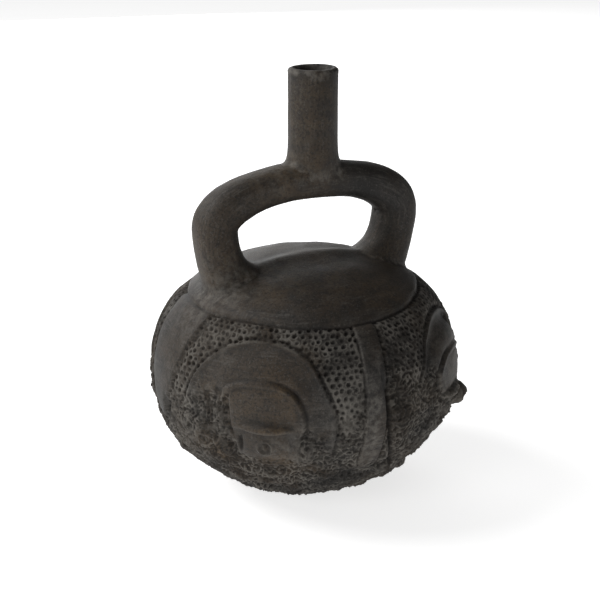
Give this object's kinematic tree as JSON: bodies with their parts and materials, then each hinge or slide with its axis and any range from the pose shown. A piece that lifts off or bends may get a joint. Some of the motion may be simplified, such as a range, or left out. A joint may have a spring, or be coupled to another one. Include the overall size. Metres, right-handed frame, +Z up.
{
  "type": "stirrup spout vessel",
  "caption": "Hollow black earthenware bottle: a rounded moulded body, a stirrup handle that is also a pipe, and one upright spout.",
  "frame": {"origin": "middle of the flat worn spot that the vessel stands on", "axes": "+Z up, -Y towards the front, X along the stirrup from leg to leg"},
  "size_m": [0.1554, 0.1554, 0.2082],
  "materials": {
    "blackware": "smoked black earthenware, burnished to a satin sheen on the plain areas and worn dull on the relief"
  },
  "bodies": {
    "root": {"vessel": "blackware"}
  },
  "joints": []
}
